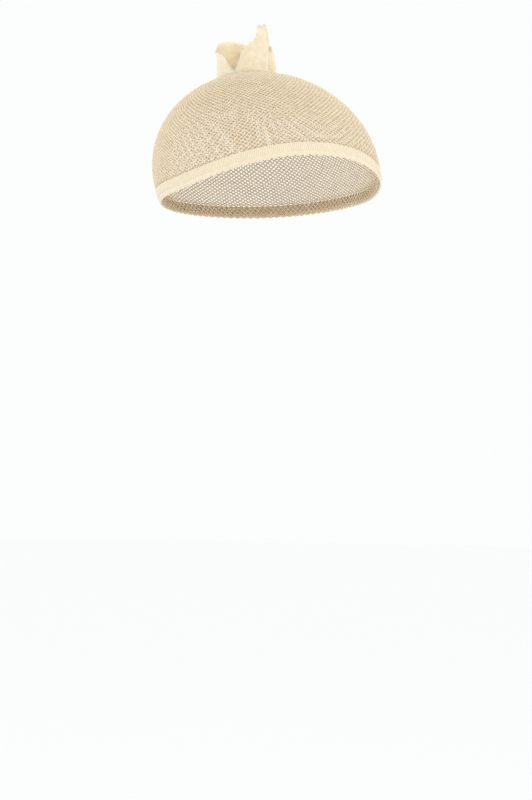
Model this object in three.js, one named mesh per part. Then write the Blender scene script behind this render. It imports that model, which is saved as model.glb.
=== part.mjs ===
// A stretch net wig cap in the shape that it has when worn: a domed net crown, an elastic band
// with a scalloped lower edge, a tie round the gathered neck of the net, and the tail of the net
// standing open above the tie as a ruffled topknot.
// Millimetres and degrees. +Z is up, -Y is the front, -X is the wearer's right. The origin is in
// the middle of the cap's opening, at the level of the greatest girth.
import * as THREE from 'three';

// Domed form of the stretched net, at its outside
const HALF_WIDTH = 76.3;
const HALF_LENGTH = 98;
const CROWN_HEIGHT = 74.3;
const CROWN_SHIFT = 21.7; // how far the top lies behind the middle of the girth
const PLAN_POWER = 2.12; // roundness of the plan: 2 is an ellipse, more is squarer

// Net of the crown
const NET_WALL = 1;
const CLEARANCE = 0.3; // between pieces that touch
const NET_HEM = 2; // height over which the net dips in behind the band
const PLEATS = 21;
const PLEAT_DEPTH = 0.3; // at the neck

// Elastic band
const BAND_WIDTH = 9.8; // to the tips of the scallops
const BAND_WALL = 1.2;
const BAND_STAND = 0.5; // how far it stands out past the net
const BAND_FRONT_RISE = 5.5; // height of its middle line above the origin, at the front
const BAND_SIDE_DROP = 15.2; // and below the origin, at the sides
const SCALLOP_PITCH = 5.2;
const SCALLOP_DROP = 1.1;

// Knot, neck and tie
const KNOT_SETBACK = 35.4; // behind the origin
const GATHER_RADIUS = 14; // where the net starts to lift towards the neck
const GATHER_RISE = 0.8;
const NECK_RADIUS = 5;
const NECK_HEIGHT = 4.3; // above the crown at the knot
const TIE_THICKNESS = 2;

// Topknot
const TOPKNOT_WALL = 1.2;
const TOPKNOT_REACH = 22.4; // widest radius of its folds
const TOPKNOT_RISE = 34.6; // height of its highest point above the crown at the knot

// Rows of the net between the band and the gather, as shares of the way
const CROWN_ROWS = [0, 0.12, 0.25, 0.38, 0.51, 0.64, 0.76, 0.86, 0.94, 1];

// Section of the band: height as a share of its width up from the middle line, stand as a share
// of its wall out from its inner face. Rows marked edge follow the scallops.
const BAND_SECTION = [
  { height: 0.5, stand: 0.85, edge: 0 },
  { height: -0.08, stand: 1, edge: 0 },
  { height: -0.13, stand: 0.62, edge: 0 },
  { height: -0.5, stand: 0.75, edge: 1 },
  { height: -0.5, stand: 0, edge: 1 },
  { height: 0.5, stand: 0, edge: 0 },
];

// One scallop in four columns: how much of the drop its edge has
const SCALLOP_COLUMNS = [0, 0.8, 1, 0.8];

// Rings where the net lifts from the dome to the neck: radius between neck (0) and gather (1)
const GATHER_RINGS = [0.14, 0.36, 0.66];

// Folds of the topknot, in order round it: bearing from the front towards the wearer's left,
// reach as a share of the widest radius, rise of the rim as a share of the highest point, and
// the radius of the rim as a share of that fold's reach
const FOLDS = [
  { bearing: -51, reach: 0.9, rise: 0.05, rim: 0.98 },
  { bearing: -38, reach: 0.96, rise: 0.3, rim: 0.97 },
  { bearing: -24, reach: 0.93, rise: 0.59, rim: 0.95 },
  { bearing: -6, reach: 0.96, rise: 0.73, rim: 0.9 },
  { bearing: 2, reach: 0.96, rise: 1, rim: 0.92 },
  { bearing: 16, reach: 1, rise: 1, rim: 0.98 },
  { bearing: 24, reach: 0.93, rise: 0.65, rim: 1.06 },
  { bearing: 33, reach: 0.86, rise: 0.6, rim: 1.01 },
  { bearing: 50, reach: 1.03, rise: 0.55, rim: 0.9 },
  { bearing: 86, reach: 0.8, rise: 0.75, rim: 0.82 },
  { bearing: 112, reach: 1, rise: 0.59, rim: 1.04 },
  { bearing: 140, reach: 0.8, rise: 0.72, rim: 0.84 },
  { bearing: 166, reach: 0.96, rise: 0.83, rim: 1 },
  { bearing: 192, reach: 0.86, rise: 0.84, rim: 0.93 },
  { bearing: 216, reach: 0.96, rise: 0.8, rim: 0.94 },
  { bearing: 244, reach: 1, rise: 0.64, rim: 0.98 },
  { bearing: 270, reach: 0.95, rise: 0.45, rim: 0.98 },
  { bearing: 292, reach: 0.96, rise: 0.29, rim: 0.98 },
];
const COLUMNS_PER_FOLD = 3;

// Section of the topknot from the neck to the rim: out as a share of the way from the neck to
// the fold's reach, settle as a share of the way down from the neck to the crown, up as a share
// of the way up to the rim, lean as a share of the way to the rim's own radius
const TOPKNOT_SECTION = [
  { out: 0, settle: 0, up: 0, lean: 0 },
  { out: 0.35, settle: 0.2, up: 0, lean: 0 },
  { out: 0.7, settle: 0.75, up: 0, lean: 0 },
  { out: 0.93, settle: 0.88, up: 0.02, lean: 0 },
  { out: 1, settle: 0.9, up: 0.14, lean: 0 },
  { out: 1.01, settle: 0.9, up: 0.43, lean: 0.1 },
  { out: 1, settle: 0.9, up: 0.73, lean: 0.5 },
  { out: 1, settle: 0.9, up: 1, lean: 1 },
];

// Materials
const NET_COLOUR = 0xefdfc2;
const BAND_COLOUR = 0xf8ecd0;
const TOPKNOT_COLOUR = 0xf3e2c2;
const TIE_COLOUR = 0xe8d8ba;
const CLOTH_ROUGHNESS = 0.9;

const HALVINGS = 40;
const LINE_STEPS = 720;
const FULL_TURN = Math.PI * 2;

function cloth(colour) {
  return new THREE.MeshStandardMaterial({
    color: colour,
    roughness: CLOTH_ROUGHNESS,
    metalness: 0,
  });
}

function signedPower(value, exponent) {
  return Math.sign(value) * Math.abs(value) ** exponent;
}

// Point of the domed form, made larger all round by grow, at a plan angle and a height
function formPoint(angle, height, grow) {
  const shrink = Math.sqrt(1 - (height / (CROWN_HEIGHT + grow)) ** 2);
  const side = signedPower(Math.sin(angle), 2 / PLAN_POWER);
  const ahead = signedPower(Math.cos(angle), 2 / PLAN_POWER);
  return new THREE.Vector3(
    (HALF_WIDTH + grow) * shrink * side,
    CROWN_SHIFT * height / CROWN_HEIGHT - (HALF_LENGTH + grow) * shrink * ahead,
    height,
  );
}

// Below zero inside the domed form, above zero outside it
function formValue(point, grow) {
  const across = Math.abs(point.x) / (HALF_WIDTH + grow);
  const middle = CROWN_SHIFT * point.z / CROWN_HEIGHT;
  const along = Math.abs(point.y - middle) / (HALF_LENGTH + grow);
  const plan = (across ** PLAN_POWER + along ** PLAN_POWER) ** (2 / PLAN_POWER);
  return plan + (point.z / (CROWN_HEIGHT + grow)) ** 2 - 1;
}

// Where the line from a point inside the domed form leaves it
function castToForm(start, direction, grow) {
  let near = 0;
  let far = 2 * (HALF_LENGTH + CROWN_HEIGHT);
  for (let step = 0; step < HALVINGS; step += 1) {
    const middle = (near + far) / 2;
    const point = start.clone().addScaledVector(direction, middle);
    if (formValue(point, grow) < 0) near = middle;
    else far = middle;
  }
  return start.clone().addScaledVector(direction, near);
}

// Height of the band's middle line: raised at the front, lowest at the back
function bandHeight(angle) {
  const side = Math.cos(angle) > 0 ? Math.sin(angle) ** 2 : 1;
  return BAND_FRONT_RISE * Math.cos(angle) - BAND_SIDE_DROP * side;
}

// Plan angles that lie at equal steps along the band's middle line
function evenAngles(count) {
  const lengths = [0];
  for (let step = 1; step <= LINE_STEPS; step += 1) {
    const before = FULL_TURN * (step - 1) / LINE_STEPS;
    const after = FULL_TURN * step / LINE_STEPS;
    const from = formPoint(before, bandHeight(before), 0);
    const to = formPoint(after, bandHeight(after), 0);
    lengths.push(lengths[step - 1] + from.distanceTo(to));
  }
  const total = lengths[LINE_STEPS];
  const angles = [];
  let step = 0;
  for (let index = 0; index < count; index += 1) {
    const wanted = total * index / count;
    while (lengths[step + 1] < wanted) step += 1;
    const part = (wanted - lengths[step]) / (lengths[step + 1] - lengths[step]);
    angles.push(FULL_TURN * (step + part) / LINE_STEPS);
  }
  return { angles, total };
}

// Closed body through rings of equal count. Rings run round anticlockwise from above, and each
// next ring is lower on an outside and higher on an inside. Without poles the last ring joins
// the first.
function bodyFromRings(rings, firstPole = null, lastPole = null) {
  const count = rings[0].length;
  const points = rings.flat();
  const faces = [];
  const at = (ring, column) => (ring % rings.length) * count + (column % count);
  const strips = firstPole ? rings.length - 1 : rings.length;
  for (let ring = 0; ring < strips; ring += 1) {
    for (let column = 0; column < count; column += 1) {
      faces.push(at(ring, column), at(ring + 1, column), at(ring + 1, column + 1));
      faces.push(at(ring, column), at(ring + 1, column + 1), at(ring, column + 1));
    }
  }
  if (firstPole) {
    const first = points.push(firstPole) - 1;
    const last = points.push(lastPole) - 1;
    const end = rings.length - 1;
    for (let column = 0; column < count; column += 1) {
      faces.push(first, at(0, column), at(0, column + 1));
      faces.push(last, at(end, column + 1), at(end, column));
    }
  }
  const geometry = new THREE.BufferGeometry().setFromPoints(points);
  geometry.setIndex(faces);
  geometry.computeVertexNormals();
  return geometry;
}

function namedMesh(name, geometry, colour) {
  const mesh = new THREE.Mesh(geometry, cloth(colour));
  mesh.name = name;
  return mesh;
}

// Unit vector in plan at a bearing from the front towards the wearer's left
function towards(bearing) {
  return new THREE.Vector3(Math.sin(bearing), -Math.cos(bearing), 0);
}

const HEART = new THREE.Vector3(0, 0, 0);
const UP = new THREE.Vector3(0, 0, 1);

// Point of the grown domed form straight above a place in plan
function crownAbove(place, grow) {
  return castToForm(new THREE.Vector3(place.x, place.y, 0), UP, grow);
}

const KNOT = crownAbove(new THREE.Vector3(0, KNOT_SETBACK, 0), 0);

const BAND_INSIDE = BAND_STAND - BAND_WALL;
const HEM_GROW = BAND_INSIDE - CLEARANCE;
const BAND_TOP = BAND_WIDTH / 2;
const NET_EDGE = -BAND_TOP + 2 * SCALLOP_DROP;

// Ring of the net behind the band or just above it, at a height from the band's middle line
function hemRing(angles, height, grow) {
  return angles.map((angle) => formPoint(angle, bandHeight(angle) + height, grow));
}

// Pleats deepen from nothing halfway up the crown to their full depth at the neck
function pleat(column, count, depth) {
  return depth * Math.cos(FULL_TURN * PLEATS * column / count);
}

// Ring of the crown at a share of the way from the hem to the gather. Each point lies on the arc
// of directions between the two, cast out to the domed form.
function crownRing(angles, share, grow) {
  return angles.map((angle, column) => {
    const low = formPoint(angle, bandHeight(angle) + BAND_TOP + NET_HEM, grow);
    const bearing = FULL_TURN * column / angles.length;
    const place = KNOT.clone().addScaledVector(towards(bearing), GATHER_RADIUS);
    const high = crownAbove(place, grow);
    const from = low.sub(HEART).normalize();
    const to = high.sub(HEART).normalize();
    const angleBetween = from.angleTo(to);
    const direction = from.multiplyScalar(Math.sin((1 - share) * angleBetween))
      .addScaledVector(to, Math.sin(share * angleBetween)).normalize();
    const depth = PLEAT_DEPTH * Math.max(0, 2 * share - 1);
    return castToForm(HEART, direction, grow + pleat(column, angles.length, depth));
  });
}

// Ring of the net lifting from the dome towards the neck
function gatherRing(count, part, grow) {
  const radius = NECK_RADIUS + (GATHER_RADIUS - NECK_RADIUS) * part;
  const ring = [];
  for (let column = 0; column < count; column += 1) {
    const bearing = FULL_TURN * column / count;
    const place = KNOT.clone().addScaledVector(towards(bearing), radius);
    const point = crownAbove(place, grow);
    point.z += GATHER_RISE * (1 - part) ** 2 + pleat(column, count, PLEAT_DEPTH);
    ring.push(point);
  }
  return ring;
}

function neckRing(count, height) {
  const ring = [];
  for (let column = 0; column < count; column += 1) {
    const radius = NECK_RADIUS + pleat(column, count, PLEAT_DEPTH);
    const point = KNOT.clone().addScaledVector(towards(FULL_TURN * column / count), radius);
    point.z += height;
    ring.push(point);
  }
  return ring;
}

// Crown: a thin shell from the hem behind the band to the solid gathered neck
function crownNet() {
  const count = 4 * PLEATS;
  const { angles } = evenAngles(count);
  const inner = -NET_WALL;
  const hemTop = BAND_TOP + CLEARANCE;
  const outside = [
    neckRing(count, NECK_HEIGHT),
    neckRing(count, GATHER_RISE + 2 * PLEAT_DEPTH),
    ...GATHER_RINGS.map((part) => gatherRing(count, part, 0)),
    ...[...CROWN_ROWS].reverse().map((share) => crownRing(angles, share, 0)),
    hemRing(angles, hemTop, HEM_GROW),
    hemRing(angles, NET_EDGE, HEM_GROW),
  ];
  const inside = [
    hemRing(angles, NET_EDGE, HEM_GROW + inner),
    hemRing(angles, hemTop, HEM_GROW + inner),
    ...CROWN_ROWS.map((share) => crownRing(angles, share, inner)),
    gatherRing(count, GATHER_RINGS[1], inner),
  ];
  const top = KNOT.clone().addScaledVector(UP, NECK_HEIGHT);
  const roof = KNOT.clone().addScaledVector(UP, GATHER_RISE - NET_WALL);
  return namedMesh('crown_net', bodyFromRings([...outside, ...inside], top, roof), NET_COLOUR);
}

// Elastic band: ribbed upper part, a groove, a smooth lower part and a scalloped edge
function elasticBand() {
  const perScallop = SCALLOP_COLUMNS.length;
  const scallops = Math.round(evenAngles(1).total / SCALLOP_PITCH);
  const { angles } = evenAngles(scallops * perScallop);
  const rings = BAND_SECTION.map((row) => angles.map((angle, column) => {
    const valley = SCALLOP_DROP * (1 - SCALLOP_COLUMNS[column % perScallop]);
    const height = BAND_WIDTH * row.height + row.edge * valley;
    const grow = BAND_INSIDE + BAND_WALL * row.stand;
    return formPoint(angle, bandHeight(angle) + height, grow);
  }));
  return namedMesh('elastic_band', bodyFromRings(rings), BAND_COLOUR);
}

// Tie: a plain ring round the neck
function crownTie() {
  const radius = NECK_RADIUS + PLEAT_DEPTH + CLEARANCE + TIE_THICKNESS / 2;
  const geometry = new THREE.TorusGeometry(radius, TIE_THICKNESS / 2, 6, 24);
  const mesh = namedMesh('crown_tie', geometry, TIE_COLOUR);
  mesh.position.copy(KNOT).addScaledVector(UP, NECK_HEIGHT - CLEARANCE - TIE_THICKNESS / 2);
  return mesh;
}

// One ring of the topknot's outer face: a smooth closed line through its folds
function topknotRing(section) {
  const points = FOLDS.map((fold) => {
    const reach = TOPKNOT_REACH * fold.reach;
    const widest = NECK_RADIUS + (reach - NECK_RADIUS) * section.out;
    const radius = widest + reach * (fold.rim - 1) * section.lean;
    const direction = towards(THREE.MathUtils.degToRad(fold.bearing));
    const place = KNOT.clone().addScaledVector(direction, radius);
    const foot = NECK_HEIGHT + CLEARANCE;
    const crown = crownAbove(place, PLEAT_DEPTH + CLEARANCE).z - KNOT.z;
    const low = THREE.MathUtils.lerp(foot, crown, section.settle);
    const height = THREE.MathUtils.lerp(low, TOPKNOT_RISE * fold.rise, section.up);
    return place.addScaledVector(UP, height);
  });
  const line = new THREE.CatmullRomCurve3(points, true);
  return line.getPoints(FOLDS.length * COLUMNS_PER_FOLD).slice(0, -1);
}

// The same rings moved in by the wall, square to the cloth
function offsetRings(rings, wall) {
  const count = rings[0].length;
  return rings.map((ring, level) => ring.map((point, column) => {
    const below = rings[Math.max(0, level - 1)][column];
    const above = rings[Math.min(rings.length - 1, level + 1)][column];
    const before = ring[(column + count - 1) % count];
    const after = ring[(column + 1) % count];
    const rise = above.clone().sub(below);
    const round = after.clone().sub(before);
    const inward = rise.cross(round).normalize();
    return point.clone().addScaledVector(inward, wall);
  }));
}

// Topknot: the tail of the net above the tie, a ruffled cup of cloth that is open at the top
function topknot() {
  const outer = TOPKNOT_SECTION.map(topknotRing);
  const inner = offsetRings(outer, TOPKNOT_WALL);
  const foot = KNOT.clone().addScaledVector(UP, NECK_HEIGHT + CLEARANCE);
  const floor = foot.clone().addScaledVector(UP, TOPKNOT_WALL);
  const rings = [...inner, ...outer.reverse()];
  return namedMesh('topknot', bodyFromRings(rings, floor, foot), TOPKNOT_COLOUR);
}

const wigCap = new THREE.Group();
wigCap.add(crownNet(), elasticBand(), crownTie(), topknot());

export default wigCap;
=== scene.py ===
import math

import bpy
import numpy as np
from mathutils import Matrix, Vector


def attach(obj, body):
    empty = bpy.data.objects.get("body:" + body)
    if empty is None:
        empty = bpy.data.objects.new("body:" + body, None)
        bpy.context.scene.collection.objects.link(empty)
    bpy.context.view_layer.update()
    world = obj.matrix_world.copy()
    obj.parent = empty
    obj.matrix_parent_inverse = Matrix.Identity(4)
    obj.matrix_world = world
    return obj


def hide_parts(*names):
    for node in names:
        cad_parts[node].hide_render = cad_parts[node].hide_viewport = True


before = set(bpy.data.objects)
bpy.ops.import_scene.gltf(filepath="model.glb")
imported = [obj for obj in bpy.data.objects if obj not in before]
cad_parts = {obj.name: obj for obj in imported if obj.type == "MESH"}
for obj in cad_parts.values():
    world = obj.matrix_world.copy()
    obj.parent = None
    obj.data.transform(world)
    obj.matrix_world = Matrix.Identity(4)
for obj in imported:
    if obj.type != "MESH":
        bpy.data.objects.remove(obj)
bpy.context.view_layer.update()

# A stretch net wig cap as worn: knotted net crown, elastic band, tie and ruffled topknot.
# Metres. +Z is up, -Y is the front, -X is the wearer's right. Sizes in millimetres are given
# as numbers times MM. They repeat the solids' own sizes, so each piece lies where its solid is.
MM = 0.001
SEED = 11

# Domed form of the stretched net, at its outside
HALF_WIDTH = 76.3 * MM
HALF_LENGTH = 98 * MM
CROWN_HEIGHT = 74.3 * MM
CROWN_SHIFT = 21.7 * MM
PLAN_POWER = 2.12

# Band
BAND_WIDTH = 9.8 * MM
BAND_WALL = 1.2 * MM
BAND_STAND = 0.5 * MM
BAND_FRONT_RISE = 5.5 * MM
BAND_SIDE_DROP = 15.2 * MM
SCALLOP_PITCH = 5.2 * MM
SCALLOP_DROP = 1.1 * MM
RIBS_PER_SCALLOP = 4
STEPS_PER_RIB = 6
RIB_DEPTH = 0.28 * MM
STITCH_WIDTH = 0.34 * MM
STITCH_DEPTH = 0.3 * MM
STITCH_RISE = 0.3 * MM

# Net
CLEARANCE = 0.3 * MM
NET_WALL = 1 * MM
NET_HEM = 2 * MM
NET_COLUMNS = 132
STRAND = 2.62 * MM  # length between knots
YARN_WIDTH = 1.0 * MM
YARN_DEPTH = 0.68 * MM
YARN_SIDES = 6
YARN_TWIST = 2.2 * MM  # length in which its plies go round once
YARN_PLIES = 3
YARN_LEAST = 0.36 * MM  # width where the net bunches at the neck
BUNCHING = 0.62  # yarn width as a share of the column pitch, once columns crowd together
YARN_CROSSING = 0.1 * MM  # each yarn passes this far over or under the other
KNOT_SCATTER_UP = 0.07 * MM
KNOT_SCATTER_ROUND = 0.06 * MM
KNOT_SIZE = (1.9 * MM, 1.4 * MM, 1.24 * MM)  # round the cap, up it, and through it
KNOT_SHOULDER = (0.66, 0.78)  # way out from its middle, and way up to its top
KNOT_SIDES = 6
KNOT_PITCH = 1.5 * MM  # where columns are closer than this, knots no longer show
HEM_ROWS = 4
NECK_ROWS = 7
PLEATS = 21
PLEAT_DEPTH = 0.3 * MM

# Knot, neck and tie
KNOT_SETBACK = 35.4 * MM
GATHER_RADIUS = 14 * MM
GATHER_RISE = 0.8 * MM
NECK_RADIUS = 5 * MM
NECK_HEIGHT = 4.3 * MM
TIE_THICKNESS = 2 * MM
TIE_TURNS = 5
TIE_THREAD = 0.75 * MM
TIE_THREAD_INSET = 0.35 * MM

# Topknot
TOPKNOT_WALL = 0.9 * MM
TOPKNOT_REACH = 22.4 * MM
TOPKNOT_RISE = 34.6 * MM
TAIL_CELL = 1.7 * MM  # cell of the relaxed net
CELL_RELIEF = 0.1 * MM
STEPS_PER_FOLD = 20
STEPS_PER_SECTION = 15
SETTLE = 1.32  # the cloth lies closer on the net than its solid can
LEAST_STAND = -0.2 * MM  # it may press this far into the net's outside
FOLD_SOFTENING = 16  # passes that round off the tightest folds
CALM_HEIGHT = 9 * MM  # where the rim rises less than this, waves, wrinkles and curl are smaller
TAIL_PLEAT_DEPTH = 0.4 * MM
WAVE_HEIGHT = 1.1 * MM
WRINKLE_HEIGHT = 0.26 * MM
SMALL_WRINKLE_HEIGHT = 0.13 * MM
RIM_CURL = 0.9 * MM
RIM_CURL_DROP = 0.5 * MM
RIM_NICKS = 0.22 * MM
PINCH_DEPTH = 3 * MM
LOBE_ROLL = 1.5 * MM
CORNER_DROP = 2.8 * MM
HORN_HEIGHT = 0.9 * MM
PEAK_HEIGHT = 2.2 * MM
FRAYS = 80
FRAY_WIDTH = 0.3 * MM

# Folds of the topknot: bearing from the front towards the wearer's left in degrees, reach as a
# share of the widest radius, rise of the rim as a share of the highest point, and the radius
# of the rim as a share of the fold's reach
FOLDS = np.array([
    (-51, 0.90, 0.05, 0.98),
    (-38, 0.96, 0.30, 0.97),
    (-24, 0.93, 0.59, 0.95),
    (-6, 0.96, 0.73, 0.90),
    (2, 0.96, 1.00, 0.92),
    (16, 1.00, 1.00, 0.98),
    (24, 0.93, 0.65, 1.06),
    (33, 0.86, 0.60, 1.01),
    (50, 1.03, 0.55, 0.90),
    (86, 0.80, 0.75, 0.82),
    (112, 1.00, 0.59, 1.04),
    (140, 0.80, 0.72, 0.84),
    (166, 0.96, 0.83, 1.00),
    (192, 0.86, 0.84, 0.93),
    (216, 0.96, 0.80, 0.94),
    (244, 1.00, 0.64, 0.98),
    (270, 0.95, 0.45, 0.98),
    (292, 0.96, 0.29, 0.98),
])

# Section of the topknot from the neck to the rim: way out to the fold's reach, way down from
# the neck to the crown, way up to the rim, and way to the rim's own radius
TOPKNOT_SECTION = np.array([
    (0.00, 0.00, 0.00, 0.0),
    (0.35, 0.20, 0.00, 0.0),
    (0.70, 0.75, 0.00, 0.0),
    (0.93, 0.88, 0.02, 0.0),
    (1.00, 0.90, 0.14, 0.0),
    (1.01, 0.90, 0.43, 0.1),
    (1.00, 0.90, 0.73, 0.5),
    (1.00, 0.90, 1.00, 1.0),
])

# Tones that each yarn and cloth drifts between, the darker first
NET_TONES = ((0.64, 0.512, 0.345), (0.75, 0.622, 0.437))
# Knot tones are lighter than the yarn's: painted light, for the light their thicker lumps catch
KNOT_LIT_TONES = ((0.715, 0.595, 0.415), (0.80, 0.685, 0.50))
BAND_TONES = ((0.755, 0.65, 0.475), (0.81, 0.705, 0.54))
# Painted shade for the valleys between the band's ribs; below its groove the band is also drawn evenly a
# little towards this tone
BAND_RIB_SHADE = (0.62, 0.51, 0.34)  # its one tone between the ribs
TAIL_TONES = ((0.725, 0.62, 0.475), (0.80, 0.693, 0.555))
THREAD_TONES = ((0.76, 0.66, 0.50), (0.84, 0.745, 0.59))
FRAY_TONES = ((0.84, 0.76, 0.60), (0.90, 0.83, 0.68))

# Camera: how far it stands off, turned towards the wearer's right, and below the origin
CAMERA_DISTANCE = 1400 * MM
CAMERA_TURN = math.radians(24.35)
CAMERA_ROLL = math.radians(0.87)
CAMERA_ASIDE = 1.0 * MM
CAMERA_BELOW = 163.7 * MM
CAMERA_LENS = 87.6

# Studio floor
FLOOR_HEIGHT = -1.2
FLOOR_RADIUS = 14

FULL_TURN = 2 * math.pi
LINE_STEPS = 720
HALVINGS = 40


def signed_power(value, exponent):
    return np.sign(value) * np.abs(value) ** exponent


def form_point(angle, height, grow):
    """Point of the domed form, grown all round, at a plan angle and a height."""
    shrink = np.sqrt(1 - (height / (CROWN_HEIGHT + grow)) ** 2)
    side = signed_power(np.sin(angle), 2 / PLAN_POWER)
    ahead = signed_power(np.cos(angle), 2 / PLAN_POWER)
    x = (HALF_WIDTH + grow) * shrink * side
    y = CROWN_SHIFT * height / CROWN_HEIGHT - (HALF_LENGTH + grow) * shrink * ahead
    return np.stack(np.broadcast_arrays(x, y, height), axis=-1)


def form_value(points, grow):
    """Below zero inside the domed form, above zero outside it."""
    across = np.abs(points[..., 0]) / (HALF_WIDTH + grow)
    middle = CROWN_SHIFT * points[..., 2] / CROWN_HEIGHT
    along = np.abs(points[..., 1] - middle) / (HALF_LENGTH + grow)
    plan = (across ** PLAN_POWER + along ** PLAN_POWER) ** (2 / PLAN_POWER)
    return plan + (points[..., 2] / (CROWN_HEIGHT + grow)) ** 2 - 1


def cast_to_form(starts, directions, grow):
    """Where lines from points inside the domed form leave it."""
    near = np.zeros(directions.shape[:-1])
    far = near + 2 * (HALF_LENGTH + CROWN_HEIGHT)
    for _ in range(HALVINGS):
        middle = (near + far) / 2
        inside = form_value(starts + directions * middle[..., None], grow) < 0
        near = np.where(inside, middle, near)
        far = np.where(inside, far, middle)
    return starts + directions * near[..., None]


def crown_above(points, grow):
    """Points of the grown domed form straight above places in plan."""
    starts = points * (1, 1, 0)
    up = np.broadcast_to((0.0, 0.0, 1.0), points.shape)
    return cast_to_form(starts, up, grow)


def band_height(angle):
    """Height of the band's middle line."""
    side = np.where(np.cos(angle) > 0, np.sin(angle) ** 2, 1)
    return BAND_FRONT_RISE * np.cos(angle) - BAND_SIDE_DROP * side


def even_angles(count):
    """Plan angles at equal steps along the band's middle line, and its length."""
    fine = np.linspace(0, FULL_TURN, LINE_STEPS + 1)
    line = form_point(fine, band_height(fine), 0)
    steps = np.linalg.norm(np.diff(line, axis=0), axis=1)
    lengths = np.concatenate([[0], np.cumsum(steps)])
    wanted = lengths[-1] * np.arange(count) / count
    return np.interp(wanted, lengths, fine), lengths[-1]


def towards(bearing):
    """Unit vectors in plan at bearings from the front towards the wearer's left."""
    return np.stack([np.sin(bearing), -np.cos(bearing), np.zeros_like(bearing)], axis=-1)


def unit(vectors):
    return vectors / np.linalg.norm(vectors, axis=-1, keepdims=True)


def ripple(points, size, seed, waves=14):
    """Smooth seeded noise from -1 to 1 in space: a sum of plane waves of about one size."""
    random = np.random.default_rng(seed)
    total = np.zeros(points.shape[:-1])
    for _ in range(waves):
        direction = unit(random.normal(size=3))
        wave = FULL_TURN / (size * random.uniform(0.7, 1.6))
        total += np.sin(points @ direction * wave + random.uniform(0, FULL_TURN))
    return total / math.sqrt(waves)


KNOT = crown_above(np.array([0.0, KNOT_SETBACK, 0.0]), 0)
UP = np.array([0.0, 0.0, 1.0])
BAND_INSIDE = BAND_STAND - BAND_WALL
BAND_TOP = BAND_WIDTH / 2
HEM_GROW = BAND_INSIDE - CLEARANCE - NET_WALL / 2
NET_EDGE = -BAND_TOP + 2 * SCALLOP_DROP


def across_seam(places, around):
    """Texture places of four-sided faces, so that none runs back to the start at the seam."""
    fours = places.reshape(-1, 4, 2)
    wide = np.ptp(fours[..., 0], axis=1) > around / 2
    fours[..., 0] += around * (wide[:, None] & (fours[..., 0] < around / 2))
    return fours.reshape(-1, 2)


def new_object(name, points, quads, triangles=None, uvs=None, around=1):
    """Smooth-shaded mesh object from arrays of points, four-sided and three-sided faces. Texture
    places of the points come round to their start after one length around."""
    triangles = np.zeros((0, 3), int) if triangles is None else triangles
    corners = np.concatenate([quads.ravel(), triangles.ravel()]).astype(np.int32)
    totals = np.concatenate([np.full(len(quads), 4), np.full(len(triangles), 3)]).astype(np.int32)
    starts = np.concatenate([[0], np.cumsum(totals)[:-1]]).astype(np.int32)
    mesh = bpy.data.meshes.new(name)
    mesh.vertices.add(len(points))
    mesh.vertices.foreach_set("co", points.astype(np.float32).ravel())
    mesh.loops.add(len(corners))
    mesh.loops.foreach_set("vertex_index", corners)
    mesh.polygons.add(len(totals))
    mesh.polygons.foreach_set("loop_start", starts)
    mesh.polygons.foreach_set("loop_total", totals)
    mesh.polygons.foreach_set("use_smooth", np.ones(len(totals), bool))
    mesh.update(calc_edges=True)
    mesh.validate()
    if uvs is not None:
        places = uvs[corners]
        places[:quads.size] = across_seam(places[:quads.size], around)
        layer = mesh.uv_layers.new(name="cloth")
        layer.data.foreach_set("uv", places.astype(np.float32).ravel())
    thing = bpy.data.objects.new(name, mesh)
    bpy.context.scene.collection.objects.link(thing)
    return thing


def ring_quads(rings, count, close=False):
    """Faces between rings of equal count, round each ring, and from last to first if closed."""
    last = rings if close else rings - 1
    ring, column = np.meshgrid(np.arange(last), np.arange(count), indexing="ij")
    nxt = (ring + 1) % rings
    beside = (column + 1) % count
    quads = np.stack([
        ring * count + column,
        nxt * count + column,
        nxt * count + beside,
        ring * count + beside,
    ], axis=-1)
    return quads.reshape(-1, 4)


def tube_arrays(paths, normals, widths, depths, sides):
    """Points, faces and texture places of closed tubes along paths, flat to the normals. The
    places are the share of the way round and the turns of the twist along."""
    count, steps = paths.shape[:2]
    along = np.gradient(paths, axis=1)
    side = unit(np.cross(along, normals))
    out = unit(np.cross(side, along))
    turn = FULL_TURN * np.arange(sides) / sides
    points = (
        paths[:, :, None]
        + side[:, :, None] * (np.cos(turn)[None, None, :, None] * widths[..., None, None] / 2)
        + out[:, :, None] * (np.sin(turn)[None, None, :, None] * depths[..., None, None] / 2)
    )
    body = ring_quads(steps, sides)
    ends = [(0, i, i + 1, i + 2) for i in range(1, sides - 1, 2)]
    first = np.array(ends)
    last = first[:, ::-1] + (steps - 1) * sides
    one = np.concatenate([body, first, last])
    offsets = np.arange(count)[:, None, None] * steps * sides
    lengths = np.linalg.norm(np.diff(paths, axis=1), axis=2)
    twist = np.concatenate([np.zeros((count, 1)), np.cumsum(lengths, axis=1)], axis=1) / YARN_TWIST
    places = np.stack(np.broadcast_arrays(turn / FULL_TURN, twist[..., None]), axis=-1)
    return points.reshape(-1, 3), (one[None] + offsets).reshape(-1, 4), places.reshape(-1, 2)


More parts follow.
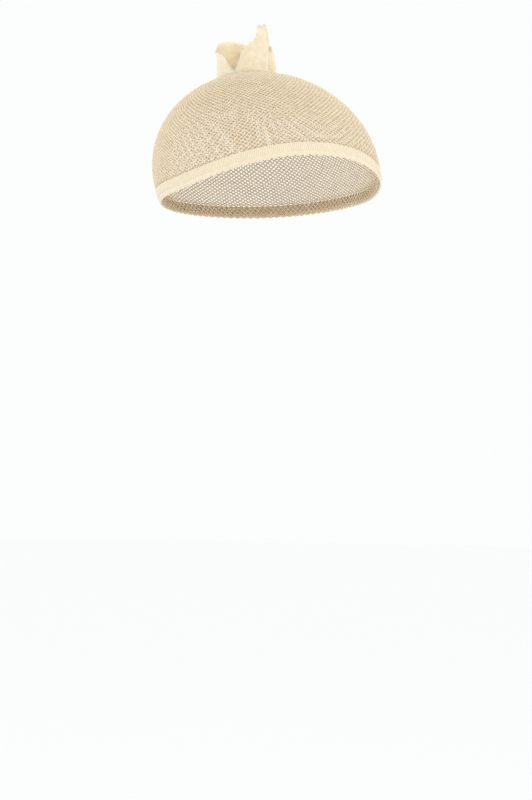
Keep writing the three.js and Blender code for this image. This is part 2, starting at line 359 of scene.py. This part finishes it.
def net_paths(columns):
    """Fine paths up the net, one for each column: behind the band, up the crown and the neck."""
    angles, _ = even_angles(columns)
    bearings = FULL_TURN * np.arange(columns) / columns
    middle = band_height(angles)
    grow = -NET_WALL / 2
    parts = []
    for height in np.linspace(NET_EDGE, BAND_TOP + CLEARANCE, 8):
        parts.append(form_point(angles, middle + height, HEM_GROW))
    hem_end = len(parts) - 1
    for share in (0.35, 0.7):
        step = CLEARANCE + (NET_HEM - CLEARANCE) * share
        parts.append(form_point(angles, middle + BAND_TOP + step, HEM_GROW + (grow - HEM_GROW) * share))
    low = unit(form_point(angles, middle + BAND_TOP + NET_HEM, 0))
    high = unit(crown_above(KNOT + towards(bearings) * GATHER_RADIUS, 0))
    between = np.arccos(np.clip((low * high).sum(-1), -1, 1))[:, None]
    heart = np.zeros_like(low)
    for share in np.linspace(0, 1, 48):
        direction = unit(low * np.sin((1 - share) * between) + high * np.sin(share * between))
        parts.append(cast_to_form(heart, direction, grow))
    gather_start = len(parts) - 1
    for part in np.linspace(0.9, 0, 9):
        radius = NECK_RADIUS + (GATHER_RADIUS - NECK_RADIUS) * part
        ring = crown_above(KNOT + towards(bearings) * radius, grow)
        ring[:, 2] += GATHER_RISE * (1 - part) ** 2
        parts.append(ring)
    foot = parts[-1][:, 2]
    top = KNOT[2] + NECK_HEIGHT - CLEARANCE
    for part in (0.3, 0.65, 1):
        ring = KNOT + towards(bearings) * (NECK_RADIUS - CLEARANCE)
        ring[:, 2] = foot + (top - foot) * part
        parts.append(ring)
    return np.stack(parts, axis=1), hem_end, gather_start


def crown_row_shares(paths, first, last):
    """Shares of the way from band to gather at which the knots lie. A strand keeps its length,
    so rows are wider apart where columns crowd together."""
    span = paths[:, first:last + 1]
    steps = np.linalg.norm(np.diff(span, axis=1), axis=2)
    lengths = np.concatenate([np.zeros((len(paths), 1)), np.cumsum(steps, axis=1)], axis=1)
    shares = (lengths / lengths[:, -1:]).mean(axis=0)
    around = np.linalg.norm(span - np.roll(span, 1, axis=0), axis=2).sum(axis=0)
    pitch = around / NET_COLUMNS
    rise = np.sqrt(STRAND ** 2 - np.minimum(pitch / 2, 0.9 * STRAND) ** 2)
    front = lengths[0, -1]
    rows = np.concatenate([[0], np.cumsum(np.diff(shares) * front * 2 / (rise[1:] + rise[:-1]))])
    count = int(round(rows[-1]))
    return np.interp(np.arange(count + 1) * rows[-1] / count, rows, shares)


def net_grid():
    """Places of all knots: one column for each half pitch round the cap, one row for each
    half cell up it."""
    columns = 2 * NET_COLUMNS
    paths, hem_end, gather_start = net_paths(columns)
    shares = crown_row_shares(paths, hem_end, gather_start)
    steps = np.linalg.norm(np.diff(paths, axis=1), axis=2)
    lengths = np.concatenate([np.zeros((columns, 1)), np.cumsum(steps, axis=1)], axis=1)
    band = lengths[:, hem_end][:, None]
    gather = lengths[:, gather_start][:, None]
    neck = lengths[:, -1][:, None]
    hem_rows = band * np.arange(HEM_ROWS) / HEM_ROWS
    crown_rows = band + (gather - band) * shares
    neck_rows = gather + (neck - gather) * np.arange(1, NECK_ROWS + 1) / NECK_ROWS
    rows = np.concatenate([hem_rows, crown_rows, neck_rows], axis=1)
    random = np.random.default_rng(SEED)
    loose = np.zeros(rows.shape[1])
    loose[HEM_ROWS + 1:-NECK_ROWS] = 1
    rows += loose * random.normal(0, KNOT_SCATTER_UP, rows.shape)
    grid = np.empty(rows.shape + (3,))
    for column in range(columns):
        for axis in range(3):
            grid[column, :, axis] = np.interp(rows[column], lengths[column], paths[column, :, axis])
    drift = ripple(grid, 45 * MM, SEED + 1) * 0.3 * MM + ripple(grid, 14 * MM, SEED + 2) * 0.12 * MM
    up_net = unit(np.gradient(grid, axis=1))
    round_net = unit(np.roll(grid, -1, axis=0) - np.roll(grid, 1, axis=0))
    grid += up_net * (drift * loose)[..., None]
    grid += round_net * (random.normal(0, KNOT_SCATTER_ROUND, rows.shape) * loose)[..., None]
    pitch = np.linalg.norm(grid - np.roll(grid, 1, axis=0), axis=2).sum(axis=0) / NET_COLUMNS
    normals = unit(np.cross(np.roll(grid, -1, axis=0) - np.roll(grid, 1, axis=0), np.gradient(grid, axis=1)))
    crowding = np.clip(1 - pitch / (3 * MM), 0, 1)
    wave = np.cos(FULL_TURN * PLEATS * np.arange(columns) / columns)[:, None]
    grid += normals * (wave * PLEAT_DEPTH * crowding * loose)[..., None]
    return grid, normals, pitch


def net_yarns(name, grid, normals, pitch, lean):
    """One family of yarns: each climbs one half pitch to the side for each half cell up."""
    columns, rows = grid.shape[:2]
    start = 2 * np.arange(NET_COLUMNS)[:, None]
    row = np.arange(rows)[None, :]
    column = (start + lean * row) % columns
    paths = grid[column, row]
    out = normals[column, row]
    over = np.where(row % 2 == 0, lean, -lean) * YARN_CROSSING
    paths = paths + out * np.broadcast_to(over, paths.shape[:2])[..., None]
    widths = np.clip(BUNCHING * pitch, YARN_LEAST, YARN_WIDTH)
    depths = widths * YARN_DEPTH / YARN_WIDTH
    shape = paths.shape[:2]
    points, quads, places = tube_arrays(
        paths, out, np.broadcast_to(widths, shape), np.broadcast_to(depths, shape), YARN_SIDES)
    return new_object(name, points, quads, uvs=places)


def net_knots(name, grid, normals, pitch):
    """The knots, where the two families of yarns cross: small lumps wider than they are high."""
    columns, rows = grid.shape[:2]
    column, row = np.meshgrid(np.arange(columns), np.arange(1, rows - 1), indexing="ij")
    keep = ((column + row) % 2 == 0) & (pitch[row] > KNOT_PITCH)
    column, row = column[keep], row[keep]
    place = grid[column, row]
    out = normals[column, row]
    aside = unit(grid[(column + 1) % columns, row] - grid[column - 1, row])
    up = np.cross(out, aside)
    random = np.random.default_rng(SEED + 3)
    size = np.clip(pitch[row] / (2.4 * MM), 0.45, 1) * random.uniform(0.88, 1.12, len(row))
    tilt = random.normal(0, 0.2, len(row))[:, None]
    wide = aside * np.cos(tilt) + up * np.sin(tilt)
    high = up * np.cos(tilt) - aside * np.sin(tilt)
    turn = FULL_TURN * np.arange(KNOT_SIDES) / KNOT_SIDES
    half_wide, half_high, half_deep = (size[:, None] * extent / 2 for extent in KNOT_SIZE)
    rim = (
        place[:, None]
        + wide[:, None] * (half_wide * np.cos(turn))[..., None]
        + high[:, None] * (half_high * np.sin(turn))[..., None]
    )
    outer = place + out * half_deep
    inner = place - out * half_deep
    wide_part, high_part = KNOT_SHOULDER
    shoulder = place[:, None] + (rim - place[:, None]) * wide_part + (outer - place)[:, None] * high_part
    points = np.concatenate([rim, shoulder, outer[:, None], inner[:, None]], axis=1)
    here = np.arange(KNOT_SIDES)
    beside = (here + 1) % KNOT_SIDES
    last = 2 * KNOT_SIDES
    sides = np.stack([here, beside, KNOT_SIDES + beside, KNOT_SIDES + here], axis=1)
    front = np.stack([KNOT_SIDES + here, KNOT_SIDES + beside, np.full(KNOT_SIDES, last)], axis=1)
    back = np.stack([beside, here, np.full(KNOT_SIDES, last + 1)], axis=1)
    offsets = np.arange(len(place))[:, None, None] * (last + 2)
    quads = (sides[None] + offsets).reshape(-1, 4)
    triangles = (np.concatenate([front, back])[None] + offsets).reshape(-1, 3)
    return new_object(name, points.reshape(-1, 3), quads, triangles)


def band_profile(rib, scallop):
    """Section of the band at each column: heights from the middle line and stands from the
    inner face, from the top edge down the outside and up the inside."""
    random = np.random.default_rng(SEED + 4)
    count = len(rib)
    places = np.arange(0, count + 1, STEPS_PER_RIB)
    uneven = np.interp(np.arange(count), places, random.uniform(0.6, 1, len(places)))
    cord = np.abs(np.cos(math.pi * rib)) ** 0.6 * uneven
    valley = SCALLOP_DROP * (1 - np.abs(np.sin(math.pi * scallop)) ** 0.75)
    low = -BAND_WIDTH / 2 + valley
    ledge = -0.16 * BAND_WIDTH
    rows = []
    for share, stand in ((0.5, 0.3), (0.49, 0.58), (0.465, 0.76)):
        rows.append((BAND_WIDTH * share + 0.16 * MM * (cord - 0.8), np.full(count, stand * BAND_WALL)))
    for share in np.linspace(0.43, -0.05, 9):
        edge = min(1, (0.47 - share) / 0.06) * min(1, (share + 0.09) / 0.06)
        stand = BAND_WALL * 0.8 + RIB_DEPTH * cord * edge
        rows.append((np.full(count, BAND_WIDTH * share), stand))
    for share, stand in ((-0.075, 0.78), (-0.095, 0.68), (-0.115, 0.67), (-0.135, 0.76), (-0.16, 0.84)):
        rows.append((np.full(count, BAND_WIDTH * share), np.full(count, stand * BAND_WALL)))
    for share, stand in ((0.2, 0.88), (0.4, 0.8), (0.6, 0.8), (0.78, 0.9), (0.9, 0.92), (0.98, 0.7),
                         (1, 0.3), (0.94, 0.04)):
        rows.append((ledge + (low - ledge) * share, np.full(count, stand * BAND_WALL)))
    for share in (0.8, 0.5, 0.2):
        rows.append((ledge + (low - ledge) * share, np.zeros(count)))
    for share in np.linspace(0, 0.46, 5):
        rows.append((np.full(count, BAND_WIDTH * share), 0.1 * MM * cord))
    heights = np.stack([row[0] for row in rows])
    stands = np.stack([row[1] for row in rows])
    return heights, stands


def elastic_band():
    _, length = even_angles(1)
    scallops = int(round(length / SCALLOP_PITCH))
    per_scallop = RIBS_PER_SCALLOP * STEPS_PER_RIB
    count = scallops * per_scallop
    angles, _ = even_angles(count)
    column = np.arange(count)
    heights, stands = band_profile(column / STEPS_PER_RIB, column / per_scallop)
    rings = []
    for height, stand in zip(heights, stands):
        rings.append(form_point(angles, band_height(angles) + height, BAND_INSIDE + stand))
    rings = np.stack(rings)
    quads = ring_quads(len(rings), count, close=True)
    round_way = np.broadcast_to(column * SCALLOP_PITCH / per_scallop, heights.shape)
    uvs = np.stack([round_way, heights], axis=-1).reshape(-1, 2)
    return new_object("band_elastic", rings.reshape(-1, 3), quads, uvs=uvs, around=scallops * SCALLOP_PITCH)


def band_stitches():
    """Row of short stitches lying in the band's groove."""
    _, length = even_angles(1)
    scallops = int(round(length / SCALLOP_PITCH))
    count = scallops * RIBS_PER_SCALLOP // 2
    steps = 7
    angles, _ = even_angles(count * (steps + 1))
    angles = angles.reshape(count, steps + 1)[:, :steps]
    lift = np.sin(np.linspace(0, math.pi, steps)) * STITCH_RISE
    grow = BAND_INSIDE + 0.55 * BAND_WALL + lift[None, :]
    height = band_height(angles) - 0.105 * BAND_WIDTH
    paths = form_point(angles, height, grow)
    out = unit(paths) * (1, 1, 0)
    shape = paths.shape[:2]
    points, quads, places = tube_arrays(
        paths, unit(out), np.full(shape, STITCH_WIDTH), np.full(shape, STITCH_DEPTH), 6)
    return new_object("band_stitching", points, quads, uvs=places)


def tie_winding():
    """Thread wound round the neck in a few turns that cross over each other."""
    steps = TIE_TURNS * 48
    turn = np.linspace(0, TIE_TURNS * FULL_TURN, steps)
    ring_radius = NECK_RADIUS + PLEAT_DEPTH + CLEARANCE + TIE_THICKNESS / 2
    lay = turn * (2 / TIE_TURNS) + 0.3 * np.sin(turn * 0.7)
    spread = TIE_THICKNESS / 2 - TIE_THREAD_INSET
    radius = ring_radius + spread * np.cos(lay)
    height = KNOT[2] + NECK_HEIGHT - CLEARANCE - TIE_THICKNESS / 2 + spread * np.sin(lay)
    path = KNOT * (1, 1, 0) + towards(turn) * radius[:, None] + UP * height[:, None]
    out = towards(turn)
    shape = (1, steps)
    points, quads, places = tube_arrays(
        path[None], out[None], np.full(shape, TIE_THREAD), np.full(shape, TIE_THREAD), 8)
    return new_object("tie_winding", points, quads, uvs=places)


def smooth_line(values, steps, closed):
    """Catmull-Rom line through rows of values."""
    count = len(values)
    spans = count if closed else count - 1
    place = np.arange(spans * steps + (0 if closed else 1)) / steps
    index = np.minimum(place.astype(int), spans - 1)
    part = (place - index).reshape((-1,) + (1,) * (values.ndim - 1))

    def row(shift):
        where = index + shift
        return values[where % count] if closed else values[np.clip(where, 0, count - 1)]

    before, start, end, after = row(-1), row(0), row(1), row(2)
    return 0.5 * (
        2 * start
        + (end - before) * part
        + (2 * before - 5 * start + 4 * end - after) * part ** 2
        + (3 * start - before - 3 * end + after) * part ** 3
    )


def topknot_sheet():
    """Outer face of the topknot as a grid, from the neck to the rim, with its finer folds."""
    bearing = np.radians(FOLDS[:, 0])
    reach = TOPKNOT_REACH * FOLDS[:, 1]
    foot = NECK_HEIGHT + CLEARANCE
    rings = []
    for out, settle, up, lean in TOPKNOT_SECTION:
        radius = NECK_RADIUS + (reach - NECK_RADIUS) * out + reach * (FOLDS[:, 3] - 1) * lean
        place = KNOT + towards(bearing) * radius[:, None]
        crown = crown_above(place, PLEAT_DEPTH + CLEARANCE)[:, 2] - KNOT[2]
        low = foot + (crown - foot) * settle * SETTLE
        low = np.maximum(low, crown - PLEAT_DEPTH - CLEARANCE + LEAST_STAND)
        place[:, 2] += low + (TOPKNOT_RISE * FOLDS[:, 2] - low) * up
        rings.append(place)
    coarse = np.stack(rings)
    rows = smooth_line(coarse, STEPS_PER_SECTION, closed=False)
    return np.swapaxes(smooth_line(np.swapaxes(rows, 0, 1), STEPS_PER_FOLD, closed=True), 0, 1)


def sheet_normals(sheet):
    """Normals of a closed sheet of rings, pointing away from its axis."""
    up = np.gradient(sheet, axis=0)
    round_way = np.roll(sheet, -1, axis=1) - np.roll(sheet, 1, axis=1)
    return unit(np.cross(round_way, up))


def softened(sheet, passes):
    """Evens each ring out with its neighbours, so that no fold is tighter than the cloth allows."""
    for _ in range(passes):
        sheet = (np.roll(sheet, 1, axis=1) + 2 * sheet + np.roll(sheet, -1, axis=1)) / 4
    return sheet


def finer_folds(sheet, way, turn):
    """Pleats from the neck, waves towards the rim and wrinkles in the cloth between them. The
    front flap is the smoothest part, and the cloth is calm where its rim lies low."""
    bearing = np.arctan2(sheet[..., 0], KNOT[1] - sheet[..., 1])
    from_front = np.clip((np.abs(np.degrees(bearing) + 20) - 70) / 60, 0, 1)
    free = 0.15 + 0.85 * (0.5 - 0.5 * np.cos(math.pi * from_front))
    pleats = np.cos(34 * turn + 2 * np.sin(3 * turn)) * np.exp(-(way / 0.3) ** 2)
    pleats = TAIL_PLEAT_DEPTH * pleats * np.minimum(1, way / 0.06)
    waves = WAVE_HEIGHT * np.sin(13 * turn + 2.5 * np.sin(2 * turn) + 2 * way) * way ** 2 * free
    wrinkles = WRINKLE_HEIGHT * ripple(sheet * (1, 1, 2.2), 12 * MM, SEED + 5)
    wrinkles += SMALL_WRINKLE_HEIGHT * ripple(sheet * (1, 1, 1.5), 5 * MM, SEED + 6)
    wrinkles *= np.clip((way - 0.3) / 0.3, 0.1, 1)
    calm = np.clip((sheet[-1, :, 2] - sheet[..., 2].min(axis=0)) / CALM_HEIGHT, 0.1, 1)
    sheet = sheet + sheet_normals(sheet) * (calm * (waves + wrinkles))[..., None]
    return softened(sheet, FOLD_SOFTENING), pleats, bearing, free * calm


def bell(values, middle, width):
    return np.exp(-((values - middle) / width) ** 2)


def finished_rim(sheet, way, bearing, free):
    """The cut edge rolls outwards a little, and more on the wearer's right, where it also dips.
    It is nicked all along, has two horns at its highest point, and is pinched to a small hollow
    beside the flap."""
    curl = np.clip((way - 0.88) / 0.12, 0, 1)
    degrees = np.degrees(bearing)
    pinch = bell(degrees, 37, 2.2) * bell(way, 0.95, 0.045)
    lobe = bell(degrees, -122, 26) * (bell(way, 1, 0.16) - 0.5 * bell(way, 0.7, 0.12))
    inwards = PINCH_DEPTH * pinch - LOBE_ROLL * lobe - RIM_CURL * curl ** 2 * free
    sheet = sheet - sheet_normals(sheet) * inwards[..., None]
    horns = (bell(degrees, 2, 2.5) + bell(degrees, 14.5, 2.5) - 2.4 * bell(degrees, 8, 2.8)) * way ** 12
    peak = bell(degrees, 41, 6) * way ** 6
    corner = bell(degrees, -113, 15) * way ** 6
    nicks = ripple(sheet * (1, 1, 0.01), 1.6 * MM, SEED + 8) * way ** 40
    drop = RIM_CURL_DROP * curl ** 3 * free - HORN_HEIGHT * horns - PEAK_HEIGHT * peak
    drop += RIM_NICKS * nicks + CORNER_DROP * corner
    return sheet - UP * drop[..., None]


def topknot_cloth():
    sheet = topknot_sheet()
    rows, columns = sheet.shape[:2]
    way = np.linspace(0, 1, rows)[:, None]
    turn = FULL_TURN * np.arange(columns)[None, :] / columns
    sheet, pleats, bearing, free = finer_folds(sheet, way, turn)
    sheet = finished_rim(sheet, way, bearing, free)
    length = np.linalg.norm(np.diff(sheet, axis=0), axis=2).mean(axis=1).sum()
    girth = np.linalg.norm(np.roll(sheet, -1, axis=1) - sheet, axis=2).sum(axis=1).mean()
    cells_up = round(length / TAIL_CELL)
    cells_round = round(girth / TAIL_CELL)
    knit = np.cos(cells_round * turn) * np.cos(FULL_TURN * cells_up * way)
    normals = sheet_normals(sheet)
    outer = sheet + normals * (pleats + knit * CELL_RELIEF)[..., None]
    inner = sheet + normals * (0.8 * pleats - TOPKNOT_WALL - knit * CELL_RELIEF)[..., None]
    rings = np.concatenate([inner, outer[::-1]])
    foot = sheet[0].mean(axis=0)
    points = np.concatenate([rings.reshape(-1, 3), [foot + UP * TOPKNOT_WALL, foot]])
    quads = ring_quads(len(rings), columns)
    here = np.arange(columns)
    beside = (here + 1) % columns
    floor = len(rings) * columns
    end = floor - columns
    triangles = np.concatenate([
        np.stack([np.full(columns, floor), here, beside], axis=1),
        np.stack([np.full(columns, floor + 1), end + beside, end + here], axis=1),
    ])
    round_way = np.broadcast_to(turn / FULL_TURN * girth, (rows, columns))
    up_way = np.broadcast_to(way * length, (rows, columns))
    flat = np.stack([round_way, up_way], axis=-1)
    uvs = np.concatenate([np.concatenate([flat, flat[::-1]]).reshape(-1, 2), np.zeros((2, 2))])
    cloth = new_object("topknot_cloth", points, quads, triangles, uvs, girth)
    return cloth, sheet, (girth, length)


def frayed_threads(sheet):
    """Loose ends of yarn along the topknot's cut rim, most of them at its highest point."""
    random = np.random.default_rng(SEED + 7)
    rim = sheet[-1]
    columns = len(rim)
    lift = (rim[:, 2] - rim[:, 2].min()) / np.ptp(rim[:, 2])
    chance = 0.07 + lift ** 8 * 2
    picks = random.choice(columns, FRAYS, p=chance / chance.sum())
    steps = 7
    way = np.linspace(0, 1, steps)[None, :, None]
    start = rim[picks] - UP * 0.8 * MM
    lengths = random.uniform(1.0, 2.3, len(picks))[:, None, None] * MM
    aim = unit(UP + random.normal(0, 0.4, (len(picks), 3)))
    bend = random.normal(0, 0.4, (len(picks), 3))
    paths = start[:, None] + aim[:, None] * way * lengths + bend[:, None] * way ** 2 * lengths
    out = unit(np.cross(aim, random.normal(size=(len(picks), 3))))
    thick = np.broadcast_to(FRAY_WIDTH * (1 - 0.6 * way[..., 0]), paths.shape[:2])
    points, quads, places = tube_arrays(paths, np.broadcast_to(out[:, None], paths.shape), thick, thick, 4)
    return new_object("topknot_frays", points, quads, uvs=places)


def shader(name, colour, roughness, sheen):
    """A node material with its Principled shader's plain values set, and its parts."""
    material = bpy.data.materials.new(name)
    material.use_nodes = True
    nodes = material.node_tree.nodes
    principled = nodes["Principled BSDF"]
    principled.inputs["Base Color"].default_value = (*colour, 1)
    principled.inputs["Roughness"].default_value = roughness
    principled.inputs["Specular IOR Level"].default_value = 0.25
    principled.inputs["Sheen Weight"].default_value = sheen
    principled.inputs["Sheen Roughness"].default_value = 0.5
    return material, nodes, material.node_tree.links, principled


def noise_node(nodes, links, vector, scale, detail):
    noise = nodes.new("ShaderNodeTexNoise")
    noise.inputs["Scale"].default_value = scale
    noise.inputs["Detail"].default_value = detail
    links.new(vector, noise.inputs["Vector"])
    return noise


def mottled_colour(nodes, links, principled, vector, scale, dark, light):
    """Base colour that drifts between two tones."""
    noise = noise_node(nodes, links, vector, scale, 4)
    ramp = nodes.new("ShaderNodeValToRGB")
    ramp.color_ramp.elements[0].position = 0.3
    ramp.color_ramp.elements[0].color = (*dark, 1)
    ramp.color_ramp.elements[1].position = 0.7
    ramp.color_ramp.elements[1].color = (*light, 1)
    links.new(noise.outputs["Fac"], ramp.inputs["Fac"])
    links.new(ramp.outputs["Color"], principled.inputs["Base Color"])


def add_bump(nodes, links, principled, height, distance, strength):
    bump = nodes.new("ShaderNodeBump")
    bump.inputs["Distance"].default_value = distance
    bump.inputs["Strength"].default_value = strength
    links.new(height, bump.inputs["Height"])
    links.new(bump.outputs["Normal"], principled.inputs["Normal"])


def yarn_material(name, dark, light, twisted=True):
    """Soft matt yarn: fibres and twisted plies as fine bump, tone drifting along it."""
    material, nodes, links, principled = shader(name, light, 0.8, 0.35)
    coordinates = nodes.new("ShaderNodeTexCoord")
    place = coordinates.outputs["Object"]
    mottled_colour(nodes, links, principled, place, 260, dark, light)
    fibres = noise_node(nodes, links, place, 3200, 3)
    height = fibres.outputs["Fac"]
    if twisted:
        plies = nodes.new("ShaderNodeTexWave")
        plies.bands_direction = "DIAGONAL"
        plies.inputs["Scale"].default_value = YARN_PLIES * FULL_TURN / 10
        links.new(coordinates.outputs["UV"], plies.inputs["Vector"])
        total = nodes.new("ShaderNodeMath")
        links.new(height, total.inputs[0])
        links.new(plies.outputs["Fac"], total.inputs[1])
        height = total.outputs[0]
    add_bump(nodes, links, principled, height, 0.1 * MM, 0.6)
    return material


def knit_height(nodes, links, vector, across, along):
    """Small raised stitches as the product of two waves over the cloth's own directions."""
    waves = []
    for direction, scale in (("X", across), ("Y", along)):
        wave = nodes.new("ShaderNodeTexWave")
        wave.bands_direction = direction
        wave.wave_profile = "SIN"
        wave.inputs["Scale"].default_value = scale
        links.new(vector, wave.inputs["Vector"])
        waves.append(wave.outputs["Fac"])
    product = nodes.new("ShaderNodeMath")
    product.operation = "MULTIPLY"
    links.new(waves[0], product.inputs[0])
    links.new(waves[1], product.inputs[1])
    return product.outputs[0]


def cloth_material(name, dark, light, across, along, depth):
    """Knitted cloth with stitches laid along its own directions."""
    material, nodes, links, principled = shader(name, light, 0.85, 0.4)
    coordinates = nodes.new("ShaderNodeTexCoord")
    mottled_colour(nodes, links, principled, coordinates.outputs["Object"], 190, dark, light)
    stitches = knit_height(nodes, links, coordinates.outputs["UV"], across, along)
    fuzz = noise_node(nodes, links, coordinates.outputs["Object"], 2600, 3)
    total = nodes.new("ShaderNodeMath")
    total.operation = "MULTIPLY_ADD"
    total.inputs[1].default_value = 0.4
    links.new(fuzz.outputs["Fac"], total.inputs[0])
    links.new(stitches, total.inputs[2])
    add_bump(nodes, links, principled, total.outputs[0], depth, 0.7)
    return material


def lets_light_through(material, weight, depth):
    """Thin cloth glows a little where light falls on its other side."""
    principled = material.node_tree.nodes["Principled BSDF"]
    principled.inputs["Subsurface Weight"].default_value = weight
    principled.inputs["Subsurface Radius"].default_value = (1.0, 0.88, 0.66)
    principled.inputs["Subsurface Scale"].default_value = depth
    return material


def mix_into_base(nodes, links, principled, share, colour):
    """Mixes a colour into what the base colour already is."""
    mix = nodes.new("ShaderNodeMix")
    mix.data_type = "RGBA"
    links.new(share, mix.inputs["Factor"])
    links.new(principled.inputs["Base Color"].links[0].from_socket, mix.inputs["A"])
    mix.inputs["B"].default_value = (*colour, 1)
    links.new(mix.outputs["Result"], principled.inputs["Base Color"])


def shade_rib_valleys(material, dark, pitch):
    """Paints shade into a cloth material in the valleys between ribs above the band's groove, and
    darkens it evenly and less below it."""
    nodes, links = material.node_tree.nodes, material.node_tree.links
    principled = nodes["Principled BSDF"]
    place = nodes.new("ShaderNodeTexCoord").outputs["UV"]
    wave = nodes.new("ShaderNodeTexWave")
    wave.bands_direction = "X"
    wave.wave_profile = "SIN"
    wave.inputs["Scale"].default_value = FULL_TURN / (20 * pitch)
    links.new(place, wave.inputs["Vector"])
    sharp = nodes.new("ShaderNodeMath")
    sharp.operation = "POWER"
    sharp.inputs[1].default_value = 4
    links.new(wave.outputs["Fac"], sharp.inputs[0])
    parts = nodes.new("ShaderNodeSeparateXYZ")
    links.new(place, parts.inputs[0])
    above = nodes.new("ShaderNodeMapRange")
    above.inputs["From Min"].default_value = -0.09 * BAND_WIDTH
    above.inputs["From Max"].default_value = -0.05 * BAND_WIDTH
    links.new(parts.outputs["Y"], above.inputs["Value"])
    share = nodes.new("ShaderNodeMix")
    links.new(above.outputs["Result"], share.inputs["Factor"])
    share.inputs["A"].default_value = 0.2
    links.new(sharp.outputs[0], share.inputs["B"])
    mix_into_base(nodes, links, principled, share.outputs["Result"], dark)
    return material


def plain_material(name, colour, roughness):
    material, _, _, _ = shader(name, colour, roughness, 0)
    return material


def dress(piece, material, slot, *nodes):
    """Gives a piece its material, and says what it rides on and stands for."""
    piece.data.materials.clear()
    piece.data.materials.append(material)
    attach(piece, "root")
    if nodes:
        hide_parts(*nodes)


def studio():
    """White seamless floor and surroundings, and soft light from both sides of the camera."""
    bpy.ops.mesh.primitive_circle_add(
        vertices=96, radius=FLOOR_RADIUS, fill_type="NGON", location=(0, 0, FLOOR_HEIGHT))
    floor = bpy.context.object
    floor.name = "studio_floor"
    floor.data.materials.append(plain_material("studio_white", (0.99, 0.99, 0.99), 0.9))
    world = bpy.data.worlds.new("studio_air")
    world.use_nodes = True
    background = world.node_tree.nodes["Background"]
    background.inputs["Color"].default_value = (0.965, 0.985, 0.975, 1)
    background.inputs["Strength"].default_value = 1.0
    bpy.context.scene.world = world
    for name, place, size, power in (
        ("key_light", (-1.2, -1.8, 0.5), 1.2, 12.8),
        ("fill_light", (1.3, -1.6, 0.2), 1.4, 5.2),
        ("side_light_right", (-1.34, 0.92, -0.5), 1.2, 3.2),
        ("side_light_left", (1.58, -0.38, 0.1), 1.2, 3.4),
    ):
        light = bpy.data.lights.new(name, "AREA")
        light.shape = "DISK"
        light.size = size
        light.energy = power
        lamp = bpy.data.objects.new(name, light)
        lamp.location = place
        aim = Vector((0, 0, 0.03)) - Vector(place)
        lamp.rotation_euler = aim.to_track_quat("-Z", "Y").to_euler()
        bpy.context.scene.collection.objects.link(lamp)
    view = bpy.context.scene.view_settings
    view.view_transform = "Standard"
    view.look = "None"


def camera():
    """Level camera to the front and the wearer's right, a little below the cap."""
    turn = (math.cos(CAMERA_TURN), math.sin(CAMERA_TURN))
    roll = (math.cos(CAMERA_ROLL), math.sin(CAMERA_ROLL))
    right = Vector((roll[0] * turn[0], -turn[1], roll[1] * turn[0]))
    ahead = Vector((roll[0] * turn[1], turn[0], roll[1] * turn[1]))
    up = Vector((-roll[1], 0, roll[0]))
    lens = bpy.data.cameras.new("camera")
    lens.sensor_width = 36
    lens.lens = CAMERA_LENS
    lens.clip_start = 0.01
    lens.clip_end = 100
    thing = bpy.data.objects.new("camera", lens)
    place = right * CAMERA_ASIDE - ahead * CAMERA_DISTANCE - up * CAMERA_BELOW
    axes = Matrix((right, up, -ahead)).transposed()
    thing.matrix_world = Matrix.Translation(place) @ axes.to_4x4()
    bpy.context.scene.collection.objects.link(thing)
    bpy.context.scene.camera = thing


camera()
studio()

yarn = yarn_material("net_yarn", *NET_TONES)
# Knot material: a lighter copy of the yarn's, with painted light
lumps = yarn_material("net_knot_yarn_lit", *KNOT_LIT_TONES, twisted=False)
elastic = cloth_material("band_knit", *BAND_TONES, across=900, along=700, depth=0.06 * MM)
# Rib valleys darkened with painted shade
elastic = shade_rib_valleys(elastic, BAND_RIB_SHADE, SCALLOP_PITCH / RIBS_PER_SCALLOP)
tail = cloth_material("tail_knit", *TAIL_TONES, across=185, along=185, depth=0.12 * MM)
tail = lets_light_through(tail, weight=0.9, depth=2.6 * MM)
thread = yarn_material("tie_thread", *THREAD_TONES)
fray = yarn_material("fray_thread", *FRAY_TONES)

grid, normals, pitch = net_grid()
dress(net_yarns("net_yarn_left", grid, normals, pitch, 1), yarn, "net_yarn", "crown_net")
dress(net_yarns("net_yarn_right", grid, normals, pitch, -1), yarn, "net_yarn", "crown_net")
dress(net_knots("net_knots", grid, normals, pitch), lumps, "net_yarn", "crown_net")

dress(elastic_band(), elastic, "band_elastic", "elastic_band")
dress(band_stitches(), thread, "band_elastic")
dress(tie_winding(), thread, "tie_thread", "crown_tie")

cloth, sheet, cut = topknot_cloth()
dress(cloth, tail, "net_tail", "topknot")
frays = frayed_threads(sheet)
dress(frays, fray, "net_tail")
